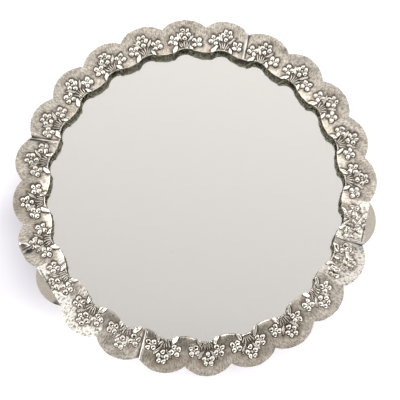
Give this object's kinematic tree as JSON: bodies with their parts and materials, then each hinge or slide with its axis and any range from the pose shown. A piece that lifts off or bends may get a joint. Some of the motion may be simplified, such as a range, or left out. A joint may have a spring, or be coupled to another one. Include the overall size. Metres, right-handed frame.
{
  "type": "hand mirror",
  "caption": "Round mirror in a scalloped stamped silver border over a dished silver back plate, resting on a foot ring, with a hinged bail handle that folds flat on the back.",
  "frame": {"origin": "middle of the plane that the foot ring stands on; the mirror lies face up on z = 0", "axes": "+Z the way the glass faces, +Y the top of the mirror when it hangs by its bail, +X to the right of someone looking into it"},
  "size_m": [0.24, 0.24, 0.0191],
  "materials": {
    "border_silver": "satin",
    "plate_silver": "satin",
    "wire_silver": "satin",
    "bail_silver": "polished",
    "rivet_silver": "satin",
    "clear_glass": "polished",
    "mirror_silvering": "polished",
    "brown_paper": "matte",
    "grey_felt": "matte",
    "limewood": "matte",
    "cork": "matte"
  },
  "bodies": {
    "mirror": {"back_plate": "plate_silver", "border_strip_right": "border_silver", "border_strip_top": "border_silver", "border_strip_left": "border_silver", "border_strip_bottom": "border_silver", "seam_straps": "border_silver", "backing_board": "limewood", "packing_felt": "grey_felt", "backing_paper": "brown_paper", "silvering": "mirror_silvering", "glass_pane": "clear_glass", "glass_clips": "plate_silver", "edge_wedges": "cork", "foot_ring": "wire_silver", "outer_bead_ring": "wire_silver", "rosette_ring": "wire_silver", "back_rosette": "plate_silver", "bail_lug_left": "bail_silver", "bail_lug_right": "bail_silver", "lug_rivets": "rivet_silver", "rivet_burrs": "rivet_silver"},
    "bail": {"bail_handle": "bail_silver", "bail_end_balls": "bail_silver"}
  },
  "joints": [
    {"name": "bail_hinge", "type": "hinge", "parent": "mirror", "child": "bail", "pos_m": [0, 0.022, 0.0025], "axis": [1, 0, 0], "range_deg": [0, 180]}
  ]
}
